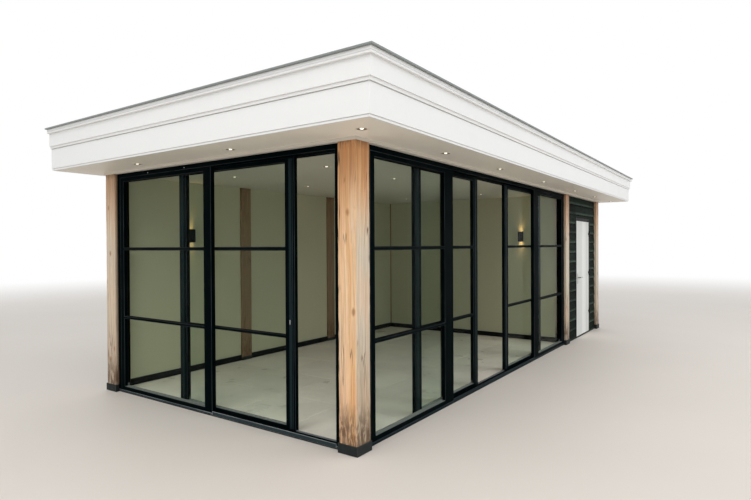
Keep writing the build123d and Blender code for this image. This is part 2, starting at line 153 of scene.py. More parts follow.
class Sheet:
    """Short calls for placing nodes in one node tree."""

    def __init__(self, tree):
        self.tree = tree
        self.count = 0

    def put(self, node, socket, value):
        """Sets an input, or links it where value is another node's output."""
        target = node.inputs[socket]
        if isinstance(value, bpy.types.NodeSocket):
            self.tree.links.new(value, target)
        else:
            target.default_value = value

    def add(self, kind, inputs=None, **settings):
        """Adds a node with its properties and inputs, and gives its outputs."""
        node = self.tree.nodes.new(kind)
        node.location = (self.count * NODE_WIDE, -(self.count % NODE_ROWS) * NODE_HIGH)
        self.count += 1
        for key, value in settings.items():
            setattr(node, key, value)
        for socket, value in (inputs or {}).items():
            self.put(node, socket, value)
        return node.outputs

    def math(self, operation, first, second=0.0, clamp=False):
        """A Math node's result."""
        inputs = {0: first, 1: second}
        return self.add("ShaderNodeMath", inputs, operation=operation, use_clamp=clamp)[0]

    def times(self, first, second, clamp=False):
        """Two values multiplied."""
        return self.math("MULTIPLY", first, second, clamp)

    def plus(self, first, second, clamp=False):
        """Two values added."""
        return self.math("ADD", first, second, clamp)

    def minus(self, first, second):
        """The second value taken from the first."""
        return self.math("SUBTRACT", first, second)

    def vectors(self, operation, inputs):
        """A Vector Math node's results."""
        return self.add("ShaderNodeVectorMath", inputs, operation=operation)

    def vector(self, x=0.0, y=0.0, z=0.0):
        """Three values as one vector."""
        return self.add("ShaderNodeCombineXYZ", {0: x, 1: y, 2: z})[0]

    def axes(self, vector):
        """A vector's three values."""
        return self.add("ShaderNodeSeparateXYZ", {0: vector})

    def facing(self):
        """The three values of the surface's own direction."""
        return self.axes(self.add("ShaderNodeNewGeometry")["Normal"])

    def attribute(self, name):
        """A mesh attribute's outputs."""
        return self.add("ShaderNodeAttribute", attribute_type="GEOMETRY", attribute_name=name)

    def noise(self, vector, scale, detail=4.0, rough=0.55, distortion=0.0):
        """A Noise Texture's value."""
        return self.add("ShaderNodeTexNoise", {
            "Vector": vector, "Scale": scale, "Detail": detail, "Roughness": rough,
            "Distortion": distortion,
        })[0]

    def stretch(self, vector, factors, shift=(0.0, 0.0, 0.0)):
        """Coordinates scaled along each axis and moved."""
        inputs = {"Vector": vector, "Scale": factors, "Location": shift}
        return self.add("ShaderNodeMapping", inputs)[0]

    def band(self, value, low, high, out_low=0.0, out_high=1.0):
        """A value mapped smoothly from one range to another, held at the ends."""
        return self.add("ShaderNodeMapRange", {
            "Value": value, "From Min": low, "From Max": high, "To Min": out_low,
            "To Max": out_high,
        }, interpolation_type="SMOOTHSTEP")[0]

    def fade(self, value, low, high, top=1.0):
        """A value mapped smoothly from top down to nothing."""
        return self.band(value, low, high, top, 0.0)

    def mix(self, factor, first, second, blend="MIX"):
        """Two colours mixed by a factor."""
        inputs = {0: factor, 6: first, 7: second}
        return self.add("ShaderNodeMix", inputs, data_type="RGBA", blend_type=blend)[2]

    def layers(self, base, *coats):
        """A colour with others laid over it in turn, each by its factor and way of blending."""
        for factor, colour, *blend in coats:
            base = self.mix(factor, base, rgba(colour), *blend)
        return base


def new_tree(kind, name, inputs, outputs):
    """The sheet of a new node tree with named sockets, and its inputs' values."""
    tree = bpy.data.node_groups.new(name, kind)
    for way, sockets in (("INPUT", inputs), ("OUTPUT", outputs)):
        for label, what, *default in sockets:
            socket = tree.interface.new_socket(
                name=label, in_out=way, socket_type="NodeSocket" + what)
            if default:
                socket.default_value = default[0]
    page = Sheet(tree)
    return page, page.add("NodeGroupInput")


def wear_group():
    """Faint cloudy tone and uneven gloss, for painted and coated surfaces."""
    page, given = new_tree("ShaderNodeTree", "painted_wear", (
        ("Vector", "Vector"), ("Colour", "Color", (0.8, 0.8, 0.8, 1)), ("Tone", "Float", 0.05),
        ("Cloud scale", "Float", 1.5), ("Gloss low", "Float", 0.3), ("Gloss high", "Float", 0.5),
        ("Grain scale", "Float", 300.0),
    ), (("Colour", "Color"), ("Roughness", "Float"), ("Height", "Float")))
    place, scale = given["Vector"], given["Cloud scale"]
    cloud = page.noise(place, scale, 5.0, 0.6)
    spot = page.noise(place, page.times(scale, 17.0), 3.0, 0.6)
    both = page.plus(page.times(cloud, 0.75), page.times(spot, 0.25))
    shade = page.times(page.minus(0.5, both), given["Tone"])
    darker = page.mix(page.times(shade, 4.0, clamp=True), given["Colour"], (0.02, 0.02, 0.02, 1))
    page.add("NodeGroupOutput", {
        "Colour": darker,
        "Roughness": page.band(both, 0.3, 0.7, given["Gloss low"], given["Gloss high"]),
        "Height": page.noise(place, given["Grain scale"], 2.0, 0.5),
    })
    return page.tree


def timber_group():
    """Long streaks, grain lines, fine fibres, drying checks and knots along Z, from 0 to 1."""
    masks = ("Streak", "Second streak", "Line", "Fibre", "Check", "Knot")
    page, given = new_tree("ShaderNodeTree", "timber_grain", (
        ("Vector", "Vector"), ("Streak width", "Float", 0.03), ("Check amount", "Float", 0.5),
        ("Knot spacing", "Float", 0.9),
    ), [(label, "Float") for label in masks])
    source = given["Vector"]
    bend = page.add("ShaderNodeTexNoise", {
        "Vector": page.stretch(source, (3.5, 3.5, 1.5)), "Scale": 1.0, "Detail": 3.0})[1]
    bent = page.vectors("MULTIPLY_ADD", {0: bend, 1: (0.050, 0.050, 0.0), 2: source})[0]
    width = page.math("DIVIDE", 1.0, given["Streak width"])

    def along(flow, shift, factor, detail, rough):
        """Noise drawn out along the trunk, at a multiple of the streaks' own scale."""
        way = page.stretch(bent, (1.0, 1.0, flow), shift)
        return page.noise(way, page.times(width, factor), detail, rough)

    crack = along(0.045, (9.1, 4.4, 0.6), 0.62, 2.0, 0.45)
    thin = page.fade(page.math("ABSOLUTE", page.minus(crack, 0.5)), 0.004, 0.015)
    where = page.noise(page.stretch(source, (5.0, 5.0, 1.6), (2.0, 7.0, 1.0)), 1.0, 2.0)
    start = page.minus(0.62, page.times(given["Check amount"], 0.25))
    knots = page.add("ShaderNodeTexVoronoi", {
        "Vector": page.stretch(bent, (4.5, 4.5, 2.4), (0.4, 0.8, 0.3)),
        "Scale": page.math("DIVIDE", 1.0, given["Knot spacing"]),
    }, feature="F1")
    page.add("NodeGroupOutput", {
        "Streak": page.band(along(0.030, (0.0, 0.0, 0.0), 1.0, 4.0, 0.6), 0.30, 0.70),
        "Second streak": page.band(along(0.06, (3.7, 1.9, 8.2), 0.6, 3.0, 0.5), 0.45, 0.62),
        "Line": page.band(along(0.020, (1.3, 6.2, 3.1), 3.1, 3.0, 0.6), 0.34, 0.66),
        "Fibre": along(0.022, (0.3, 5.1, 2.2), 9.0, 3.0, 0.7),
        "Check": page.times(thin, page.band(where, start, 0.62)),
        "Knot": page.fade(knots["Distance"], 0.05, 0.19),
    })
    return page.tree


# Finishes

COAT_RELIEF = 0.0006
GLASS_BEND = 1.04
LEDGE_FOOT, LEDGE_HEAD = (0.055, 0.065), (0.10, 0.12)
# This tints the reflections of the edged coats blue-green, a painted reflection colour.
COAT_TINT = (0.55, 0.92, 1.0, 1)
# Lower edge of each board: partly rubbed stain, partly painted highlight; top of each board:
# painted shadow under the board above.
BOARD_CREST_HIGHLIGHT, BOARD_SHADE = (0.046, 0.068, 0.054), (0.002, 0.003, 0.0025)


def new_material(name, shine=0.5, metallic=0.0):
    """A material with its sheet, its Principled shader and Object coordinates."""
    material = bpy.data.materials.new(name)
    material.use_nodes = True
    page = Sheet(material.node_tree)
    shader = material.node_tree.nodes["Principled BSDF"]
    shader.inputs["Specular IOR Level"].default_value = shine
    shader.inputs["Metallic"].default_value = metallic
    return material, page, shader, page.add("ShaderNodeTexCoord")["Object"]


def dress(page, shader, colour, rough, height, strength, distance):
    """Feeds a shader its colour, roughness and relief."""
    bump = {"Height": height, "Strength": strength, "Distance": distance}
    page.put(shader, "Base Color", colour)
    page.put(shader, "Roughness", rough)
    page.put(shader, "Normal", page.add("ShaderNodeBump", bump)[0])


def two_shaders(material, page, factor, first, second):
    """Ends a material in two shaders mixed by a factor."""
    blend = page.add("ShaderNodeMixShader", {0: factor, 1: first, 2: second})
    page.put(material.node_tree.nodes["Material Output"], "Surface", blend[0])


def coated(name, colour, tone, gloss, cloud, grain, bump, metallic=0.0, shine=0.5, edge=None,
           ledge=None, all_sides=False):
    """A painted or coated finish with faint clouds, uneven gloss, rounded edges lightened as a
    painted highlight, and lighter ledges low down.
    """
    material, page, shader, place = new_material(name, shine, metallic)
    wear = page.add("ShaderNodeGroup", {
        "Vector": place, "Colour": rgba(colour), "Tone": tone, "Cloud scale": cloud,
        "Gloss low": gloss[0], "Gloss high": gloss[1], "Grain scale": grain,
    }, node_tree=bpy.data.node_groups.get("painted_wear") or wear_group())
    skin = wear["Colour"]
    # Painted highlight: the rounded strips take the edge colour, in uneven patches.
    if edge is not None:
        uneven_highlight = page.band(page.noise(place, 2.3, 3.0), 0.35, 0.65, 0.35, 1.0)
        skin = page.layers(skin, (page.times(page.attribute("edge_highlight_mask")["Fac"], uneven_highlight), edge))
        shader.inputs["Specular Tint"].default_value = COAT_TINT
    # Lighter in the ledge colour on upward faces about 6 to 11 cm up, and on all faces for the
    # gaskets.
    if ledge is not None:
        height = page.axes(place)[2]
        low = page.times(page.band(height, *LEDGE_FOOT), page.fade(height, *LEDGE_HEAD))
        if not all_sides:
            low = page.times(low, page.band(page.facing()[2], 0.6, 0.9))
        skin = page.layers(skin, (low, ledge))
    dress(page, shader, skin, wear["Roughness"], wear["Height"], bump, COAT_RELIEF)
    return material


def oak_finish():
    """Fresh oak with streaks, checks and knots, weathered in the rain and stained at its foot,
    with painted shade under the soffit, low down and on the posts indoors.
    """
    paints = colours()
    # Heights, and places in plan, between which each change comes in
    foot, greyer_foot, low, front_low_shade = (0.14, 0.50), (0.12, 0.42), (0.35, 1.1), (0.5, 1.25)
    rain, shade, head = (1.55, 2.25), (1.75, 2.46), (2.43, 2.53)
    far_x, far_y, room_x, room_front, room_back = (
        (-3.0, 0.5), (0.0, 1.8), (-4.03, -4.01), (-1.50, -1.47), (1.92, 1.95))
    material, page, shader, place = new_material("oak_timber", 0.3)
    grain = page.add("ShaderNodeGroup", {
        "Vector": place, "Streak width": 0.042, "Check amount": 1.1, "Knot spacing": 0.62,
    }, node_tree=timber_group())
    x, y, height = page.axes(place)
    far = page.math("MAXIMUM", page.band(x, *far_x, 0.0, 0.7), page.band(y, *far_y, 0.0, 0.7))
    turned = page.band(page.math("ABSOLUTE", page.facing()[1]), 0.2, 0.9)
    long_side = page.math("MAXIMUM", far, turned)
    patch = page.noise(page.stretch(place, (7.0, 7.0, 1.1), (0.0, 0.0, 4.0)), 1.0, 4.0)
    wet = page.times(long_side, page.fade(height, *rain))
    indoor_shade = page.times(page.band(x, *room_x), page.times(
        page.band(y, *room_front), page.fade(y, *room_back)))
    wood = page.layers(
        rgba(paints.oak_warm),
        (grain["Streak"], paints.oak_pale),
        (page.times(grain["Second streak"], 0.35), paints.oak_rose),
        (page.times(wet, page.band(patch, 0.30, 0.55, 0.45, 0.92)), paints.oak_grey),
        # Painted shade on the long sides, darker below about 1.2 m.
        (page.times(long_side, page.fade(height, *front_low_shade, 0.75)), (0.80, 0.77, 0.74), "MULTIPLY"),
        # Painted shade near the soffit, darker and browner towards the post's head.
        (page.band(height, *shade), (0.74, 0.56, 0.40), "MULTIPLY"),
        # Painted shade on every side, a little darker below about 1.1 m.
        (page.fade(height, *low), (0.98, 0.91, 0.86), "MULTIPLY"),
        # Darker and greyer towards the foot.
        (page.fade(height, *greyer_foot), (0.78, 0.80, 0.80), "MULTIPLY"),
        (page.times(far, 0.55), (0.60, 0.55, 0.47)),
        # Painted shade on the posts inside the rooms.
        (page.times(indoor_shade, 0.9), (0.20, 0.125, 0.065)),
    )
    line = page.band(grain["Line"], 0.0, 1.0, 0.86, 1.04)
    fibre = page.band(grain["Fibre"], 0.30, 0.72, 0.90, 1.05)
    blot = page.noise(page.stretch(place, (30.0, 30.0, 7.5)), 1.0, 5.0, 0.65, 0.6)
    foot_stain = page.times(page.fade(height, *foot), page.band(blot, 0.36, 0.58))
    # Painted shade in blotches where the post meets the soffit.
    head_contact_shade = page.times(page.band(height, *head), page.band(blot, 0.35, 0.6))
    wood = page.layers(
        page.vectors("SCALE", {0: wood, "Scale": page.times(line, fibre)})[0],
        (page.times(grain["Knot"], 0.78), (0.33, 0.145, 0.052)),
        (page.times(grain["Check"], 0.88), paints.oak_dark),
        (page.times(foot_stain, 0.90), paints.oak_dark),
        (page.times(head_contact_shade, 0.7), paints.oak_dark),
    )
    hills = page.minus(page.times(grain["Fibre"], 0.35), grain["Check"])
    dress(page, shader, wood, page.band(grain["Fibre"], 0.3, 0.7, 0.64, 0.82), hills, 0.6, 0.004)
    return material


def board_finish(name, colour, scuff, lengthwise, grain_bump, scuff_amount, shine=0.3,
                 spread=0.35, pitch=None):
    """Stained boards: grain along lengthwise, scuffs, and a tone of its own for each board; with a
    pitch, each board's lower edge is lighter, partly rubbed stain and partly painted highlight,
    and its top has a painted shadow.
    """
    material, page, shader, place = new_material(name, shine)
    tone = page.attribute("board_tone")
    moved = page.vectors("MULTIPLY_ADD", {0: tone["Vector"], 1: (7.3, 3.1, 5.7), 2: place})[0]
    grain_way, patch_way = [
        page.stretch(moved, [drawn if axis == lengthwise else 1.0 for axis in "XYZ"])
        for drawn in (0.045, 0.35)
    ]
    fibre = page.noise(grain_way, 120.0, 4.0, 0.65)
    broad = page.noise(grain_way, 22.0, 4.0, 0.6)
    patch = page.noise(patch_way, 9.0, 5.0, 0.7)
    rub = page.times(page.band(patch, 0.50, 0.72), page.band(fibre, 0.42, 0.64))
    rub = page.times(rub, scuff_amount, clamp=True)
    dull = page.times(page.times(page.band(broad, 0.35, 0.7), 0.22), scuff_amount)
    skin = page.layers(rgba(colour), (page.plus(rub, dull, clamp=True), scuff))
    # Painted highlight along each board's lower edge and painted shadow along its top.
    if pitch is not None:
        part = page.math("FRACT", page.math("DIVIDE", page.axes(place)[2], pitch))
        crest_highlight = page.times(page.fade(part, 0.06, 0.30), page.band(patch, 0.30, 0.60, 0.55, 1.0))
        skin = page.layers(
            skin, (crest_highlight, BOARD_CREST_HIGHLIGHT), (page.band(part, 0.80, 0.95, 0.0, 0.75), BOARD_SHADE),
        )
    lift = page.plus(page.times(tone["Fac"], spread), 1.0 - spread / 2)
    dress(
        page, shader, page.vectors("SCALE", {0: skin, "Scale": lift})[0],
        page.band(fibre, 0.3, 0.7, 0.50, 0.78), page.plus(fibre, page.times(broad, 0.8)),
        grain_bump, 0.002,
    )
    return material


def tile_finish():
    """Matt porcelain tiles with soft clouds and fine specks, each tile with its own tone."""
    material, page, shader, place = new_material("floor_tile", 0.12)
    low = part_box("floor_slab")[0]
    side = bpy.context.scene.pod_sizes.tile_size
    square = page.vectors("FLOOR", {0: page.stretch(
        place, (1.0 / side, 1.0 / side, 0.0), (-low.x / side, -low.y / side, 0.5))})[0]
    draw = page.add("ShaderNodeTexWhiteNoise", {"Vector": square}, noise_dimensions="3D")["Value"]
    cloud = page.noise(place, 2.2, 6.0, 0.62)
    speck = page.noise(place, 95.0, 3.0, 0.7)
    value = page.plus(page.band(cloud, 0.3, 0.72, 0.90, 1.07), page.times(
        page.minus(speck, 0.5), 0.10))
    value = page.plus(value, page.times(page.minus(draw, 0.5), 0.09))
    toned = page.vectors("SCALE", {0: tuple(colours().tile_beige), "Scale": value})[0]
    dress(page, shader, toned, page.band(cloud, 0.3, 0.7, 0.26, 0.42),
          page.plus(page.times(cloud, 0.6), speck), 0.12, 0.001)
    return material


def glass_finish():
    """Clear glass, faintly green, that lets lamp light through to the room."""
    material, page, shader, place = new_material("clear_glass")
    smear = page.noise(place, 0.9, 3.0, 0.5)
    page.put(shader, "Base Color", rgba(colours().glass_green))
    page.put(shader, "Roughness", page.band(smear, 0.35, 0.75, 0.0, 0.012))
    shader.inputs["IOR"].default_value = GLASS_BEND
    shader.inputs["Transmission Weight"].default_value = 1.0
    clear = page.add("ShaderNodeBsdfTransparent", {"Color": (0.86, 0.90, 0.87, 1)})
    path = page.add("ShaderNodeLightPath")
    two_shaders(material, page, path["Is Shadow Ray"], shader.outputs[0], clear[0])
    return material


def glow_finish(name, colour, core, strength):
    """A lit lens, its core colour showing in fine grains."""
    material, page, shader, place = new_material(name)
    grain = page.noise(place, 260.0, 2.0)
    page.put(shader, "Base Color", (0.9, 0.85, 0.75, 1))
    page.put(shader, "Emission Color", page.mix(grain, rgba(colour), rgba(core)))
    shader.inputs["Emission Strength"].default_value = strength
    page.put(shader, "Roughness", page.band(grain, 0.3, 0.7, 0.35, 0.5))
    return material


def finish(name):
    """The named finish, made when it is first asked for."""
    found = bpy.data.materials.get(name)
    if found:
        return found
    paints = colours()
    # Coats: colour, tone, gloss from and to, cloud scale, grain scale, bump, then the rest
    coats = {
        # The frame, flat and sill coats: their edge colour is a painted highlight on the rounded
        # strips.
        "frame_coat": (paints.frame_black, 0.2, (0.30, 0.44), 2.0, 900.0, 0.10, {
            "shine": 0.004, "edge": paints.frame_edge, "ledge": (0.17, 0.19, 0.17)}),
        # The flat coat is a lighter black than the frame coat: a painted sheen on the leaves'
        # raised flats, the front sill nose and the pull plate.
        "flat_coat": ((0.0110, 0.0200, 0.0225), 0.2, (0.30, 0.44), 2.0, 900.0, 0.10, {
            "shine": 0.02, "edge": paints.frame_edge}),
        # The sill coat's near-white edge colour is a painted highlight on the sill's arris.
        "sill_coat": ((0.030, 0.043, 0.046), 0.3, (0.35, 0.5), 3.0, 500.0, 0.15, {
            "shine": 0.05, "edge": (0.75, 0.78, 0.78)}),
        "shoe_coat": ((0.015, 0.015, 0.014), 1.5, (0.50, 0.75), 16.0, 260.0, 0.5, {
            "shine": 0.25, "edge": (0.120, 0.105, 0.088)}),
        "gasket_rubber": ((0.003, 0.004, 0.004), 0.2, (0.5, 0.65), 8.0, 600.0, 0.1, {
            "shine": 0.05, "ledge": (0.20, 0.21, 0.19), "all_sides": True}),
        # The bead's paint is the soffit colour darkened, a painted shade.
        "bead_paint": (paints.soffit_white * 0.72, 0.05, (0.5, 0.65), 0.8, 260.0, 0.06, {
            "shine": 0.1}),
        "fascia_paint": (paints.fascia_white, 0.035, (0.34, 0.46), 0.9, 220.0, 0.05, {}),
        "soffit_paint": (paints.soffit_white, 0.05, (0.36, 0.50), 0.8, 260.0, 0.06, {
            "shine": 0.3}),
        "ceiling_paint": (paints.ceiling_white, 0.05, (0.6, 0.75), 0.8, 260.0, 0.06, {
            "shine": 0.1}),
        "room_paint": (paints.wall_grey, 0.05, (0.72, 0.86), 0.9, 140.0, 0.25, {"shine": 0.1}),
        "skirting_paint": ((0.006, 0.007, 0.0075), 0.2, (0.35, 0.5), 3.0, 300.0, 0.08, {
            "shine": 0.10}),
        "door_frame_coat": ((0.004, 0.005, 0.005), 0.25, (0.38, 0.55), 4.0, 300.0, 0.15, {
            "shine": 0.05}),
        "edge_coat": (paints.edge_grey, 0.2, (0.34, 0.48), 2.5, 500.0, 0.06, {}),
        "roof_sheet": (paints.membrane_grey, 0.35, (0.72, 0.9), 1.1, 160.0, 0.35, {}),
        "joint_mortar": (paints.joint_grey, 0.2, (0.85, 0.95), 4.0, 240.0, 0.4, {}),
        "satin_steel": (paints.steel, 0.15, (0.26, 0.40), 6.0, 900.0, 0.08, {"metallic": 1.0}),
        "lamp_coat": ((0.006, 0.0075, 0.008), 0.2, (0.4, 0.55), 6.0, 700.0, 0.15, {
            "shine": 0.08}),
        "ring_coat": ((0.78, 0.71, 0.61), 0.1, (0.35, 0.5), 6.0, 500.0, 0.06, {}),
        "cup_dark": ((0.085, 0.065, 0.045), 0.2, (0.3, 0.5), 9.0, 500.0, 0.1, {"shine": 0.2}),
        "track_steel": ((0.20, 0.21, 0.21), 0.3, (0.30, 0.50), 14.0, 700.0, 0.12, {}),
        "hidden_timber": ((0.42, 0.40, 0.37), 0.2, (0.7, 0.85), 3.0, 200.0, 0.3, {}),
    }
    if name in coats:
        *given, rest = coats[name]
        return coated(name, *given, **rest)
    pitch = bpy.context.scene.pod_sizes.board_pitch
    black = (paints.board_black, paints.board_scuff)
    white = (paints.door_white, (0.60, 0.59, 0.565))
    maker, *given = {
        "oak_timber": (oak_finish,),
        "floor_tile": (tile_finish,),
        "clear_glass": (glass_finish,),
        "front_boards": (board_finish, name, *black, "X", 0.55, 0.35, 0.02, 0.8, pitch),
        "end_boards": (board_finish, name, *black, "Y", 0.55, 0.35, 0.02, 0.8, pitch),
        "door_boards": (board_finish, name, *white, "Z", 0.18, 0.35),
        "spot_lens": (glow_finish, name, (1.0, 0.86, 0.66), (1.0, 0.93, 0.80), 1.6),
        "lamp_lens": (glow_finish, name, paints.lamp_warm, (1.0, 0.66, 0.30), 130.0),
    }[name]
    return maker(*given)


# Mesh help

SHARP, FLAT = math.radians(30.0), math.radians(0.5)
SAME_POINT = 0.00002
EDGE = {
    "board": 0.002, "door_board": 0.003, "door_panel": 0.002, "surround": 0.003, "hinge": 0.0008,
    "fitting": 0.0010, "tile": 0.0012, "shoe": 0.003, "sill": 0.0015, "nose": 0.0024,
    "rib": 0.0012, "track": 0.0010, "flat": 0.0014, "grip": 0.0012, "pull": 0.0008,
    "skirting": 0.003, "fascia": 0.0012, "roof_edge": 0.002, "bead": 0.003, "lap": 0.0012,
    "lamp": 0.0010,
}
BOX_SIDES = (
    (0, 2, 3, 1), (4, 5, 7, 6), (0, 1, 5, 4), (2, 6, 7, 3), (0, 4, 6, 2), (1, 3, 7, 5),
)


def box_into(mesh, low, high):
    """Adds a closed box to a bmesh."""
    corners = [
        mesh.verts.new((x, y, z)) for z in (low[2], high[2]) for y in (low[1], high[1])
        for x in (low[0], high[0])
    ]
    for side in BOX_SIDES:
        mesh.faces.new([corners[i] for i in side])


def bar_into(mesh, deep, along, across, rise):
    """Adds a bar by its ends along a wall, through it and up, deep being the axis through."""
    low, high = (
        (c, a, z) if deep == 0 else (a, c, z) for a, c, z in zip(along, across, rise)
    )
    box_into(mesh, low, high)


def bars_round(mesh, low, high, width, deep, across):
    """Adds four bars inside an upright opening, from across[0] to across[1] through it."""
    start, end = low[1 - deep], high[1 - deep]
    inner = (start + width, end - width)
    for along, rise in (
        ((start, inner[0]), (low.z, high.z)), ((inner[1], end), (low.z, high.z)),
        (inner, (low.z, low.z + width)), (inner, (high.z - width, high.z)),
    ):
        bar_into(mesh, deep, along, across, rise)


def through(low, high):
    """The axis that runs through an upright flat box, 0 or 1."""
    return 0 if high.x - low.x < high.y - low.y else 1


def round_edges(mesh, radius, segments=2):
    """Rounds the sharp edges of a bmesh, and marks the rounded strips for their painted edge
    highlight.
    """
    tone = mesh.verts.layers.float.get("edge_highlight_mask") or mesh.verts.layers.float.new("edge_highlight_mask")
    mesh.normal_update()
    edges = [e for e in mesh.edges if len(e.link_faces) == 2 and e.calc_face_angle(0.0) > SHARP]
    done = bmesh.ops.bevel(
        mesh, geom=edges, offset=radius, offset_type="OFFSET", segments=segments, profile=0.5,
        affect="EDGES", clamp_overlap=True,
    )
    rounded = set(done["faces"])
    for face in rounded:
        face.smooth = True
    for vertex in mesh.verts:
        vertex[tone] = 1.0 if all(face in rounded for face in vertex.link_faces) else 0.0


def circle_into(mesh, centre, radius, height, steps, axes=(0, 1, 2)):
    """Adds a circle of vertices, or one for no radius, above centre along the last of axes."""
    ring = []
    for k in range(steps if radius else 1):
        turn = 2 * math.pi * k / steps
        point = Vector(centre)
        for axis, move in zip(axes, (radius * math.cos(turn), radius * math.sin(turn), height)):
            point[axis] += move
        ring.append(mesh.verts.new(point))
    return ring


def lathe_into(mesh, profile, centre, steps, axes=(0, 1, 2)):
    """Turns a profile of radius and height about a line, and gives its first ring and faces."""
    rings = [circle_into(mesh, centre, *point, steps, axes) for point in profile]
    faces = []
    for lower, upper in zip(rings, rings[1:]):
        for k in range(steps):
            j = (k + 1) % steps
            far = (upper[k], upper[j]) if len(upper) > 1 else (upper[0],)
            faces.append(mesh.faces.new((lower[k], *far, lower[j])))
    return rings[0], faces


def ring_into(mesh, outer, inner, bottom, top):
    """Adds a flat rectangular ring with mitred corners, between two boxes' sides in plan."""
    def corners(box, z):
        (x0, y0, _), (x1, y1, _) = box
        return [mesh.verts.new((x, y, z)) for x, y in ((x0, y0), (x1, y0), (x1, y1), (x0, y1))]

    a, b, c, d = [corners(box, z) for box in (outer, inner) for z in (bottom, top)]
    for i in range(4):
        j = (i + 1) % 4
        mesh.faces.new((a[i], a[j], b[j], b[i]))
        mesh.faces.new((c[j], c[i], d[i], d[j]))
        mesh.faces.new((b[i], b[j], d[j], d[i]))
        mesh.faces.new((a[j], a[i], c[i], c[j]))


def placed(name, data):
    """A new object in the scene."""
    made = bpy.data.objects.new(name, data)
    bpy.context.scene.collection.objects.link(made)
    return made


def as_mesh(name, mesh):
    """A bmesh written to a new plain mesh."""
    data = bpy.data.meshes.new(name)
    mesh.to_mesh(data)
    mesh.free()
    return data


def coat_with(data, coat):
    """Gives a mesh its one finish."""
    data.materials.clear()
    data.materials.append(finish(coat))


def piece(name, mesh, coat=None, replaced=(), body=BUILDING):
    """Makes a bmesh, or a mesh with its finish on it, a finished piece that rides on a body."""
    data = as_mesh(name, mesh) if isinstance(mesh, bmesh.types.BMesh) else mesh
    data.name = name
    if coat:
        coat_with(data, coat)
    made = placed(name, data)
    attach(made, body)
    if replaced:
        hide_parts(*replaced)


def merged(node):
    """A bmesh copy of a CAD node with its corners joined."""
    mesh = bmesh.new()
    mesh.from_mesh(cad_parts[node].data)
    bmesh.ops.remove_doubles(mesh, verts=mesh.verts, dist=SAME_POINT)
    return mesh


def cad_copy(node):
    """A merged copy of a CAD node, with its flat faces whole again."""
    mesh = merged(node)
    bmesh.ops.dissolve_limit(mesh, angle_limit=FLAT, verts=mesh.verts, edges=mesh.edges)
    bmesh.ops.recalc_face_normals(mesh, faces=mesh.faces)
    for face in mesh.faces:
        face.smooth = False
    return mesh


def cad_boxes(node):
    """The limits of each separate solid of a CAD node."""
    mesh = merged(node)
    left = set(mesh.verts)
    found = []
    while left:
        grown, front = [], [left.pop()]
        while front:
            vertex = front.pop()
            grown.append(vertex.co)
            others = {edge.other_vert(vertex) for edge in vertex.link_edges} & left
            left -= others
            front += others
        found.append([Vector([pick(values) for values in zip(*grown)]) for pick in (min, max)])
    mesh.free()
    return sorted(found, key=lambda box: [round(box[0][axis], 3) for axis in (1, 0, 2)])


def softened(name, node, coat, radius, segments=2, body=BUILDING):
    """A piece with a CAD node's shape and rounded edges, which stands for that node."""
    mesh = cad_copy(node)
    round_edges(mesh, radius, segments)
    piece(name, mesh, coat, (node,), body)


def recoat(node, coat):
    """Gives a CAD node its finish and leaves its mesh alone."""
    coat_with(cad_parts[node].data, coat)


# Geometry nodes


def board_tree():
    """Parallel boards with eased edges, their backs on the XZ plane, then turned and placed."""
    page, given = new_tree("GeometryNodeTree", "board_rows", (
        ("Geometry", "Geometry"), ("Count", "Int", 4), ("Pitch", "Float", 0.17),
        ("Length", "Float", 1.0), ("Width", "Float", 0.168), ("Lower thickness", "Float", 0.018),
        ("Upper thickness", "Float", 0.008), ("Edge radius", "Float", 0.002),
        ("Depth jitter", "Float", 0.001), ("Seed", "Int", 1), ("Turn", "Vector"),
        ("Place", "Vector"), ("Material", "Material"),
    ), (("Geometry", "Geometry"),))
    rise = page.times(given["Width"], -1.0)
    outline = page.add("GeometryNodeCurvePrimitiveQuadrilateral", {
        "Point 1": page.vector(), "Point 2": page.vector(0.0, rise),
        "Point 3": page.vector(given["Upper thickness"], rise),
        "Point 4": page.vector(given["Lower thickness"]),
    }, mode="POINTS")
    eased = page.add("GeometryNodeFilletCurve", {
        "Curve": outline[0], "Count": 2, "Radius": given["Edge radius"]}, mode="POLY")
    spine = page.add("GeometryNodeCurvePrimitiveLine", {
        "Start": (0.0, 0.0, 0.0), "End": page.vector(given["Length"])})
    board = page.add("GeometryNodeCurveToMesh", {
        "Curve": spine[0], "Profile Curve": eased[0], "Fill Caps": True})
    rows = page.add("GeometryNodeMeshLine", {
        "Count": given["Count"], "Offset": page.vector(0.0, 0.0, given["Pitch"])}, mode="OFFSET")
    jitter = page.add("FunctionNodeRandomValue", {
        2: 0.0, 3: given["Depth jitter"], "Seed": given["Seed"]}, data_type="FLOAT")
    moved = page.add("GeometryNodeSetPosition", {
        "Geometry": rows[0], "Offset": page.vector(0.0, jitter[1])})
    laid = page.add("GeometryNodeInstanceOnPoints", {"Points": moved[0], "Instance": board[0]})
    tone = page.add("FunctionNodeRandomValue", {"Seed": page.plus(given["Seed"], 11.0)},
                    data_type="FLOAT")
    kept = page.add("GeometryNodeStoreNamedAttribute", {
        "Geometry": laid[0], "Name": "board_tone", "Value": tone[1],
    }, data_type="FLOAT", domain="INSTANCE")
    turned = page.add("GeometryNodeTransform", {
        "Geometry": kept[0], "Translation": given["Place"], "Rotation": given["Turn"]})
    real = page.add("GeometryNodeRealizeInstances", {0: turned[0]})
    coat = page.add("GeometryNodeSetMaterial", {
        "Geometry": real[0], "Material": given["Material"]})
    page.add("NodeGroupOutput", {0: coat[0]})
    return page.tree


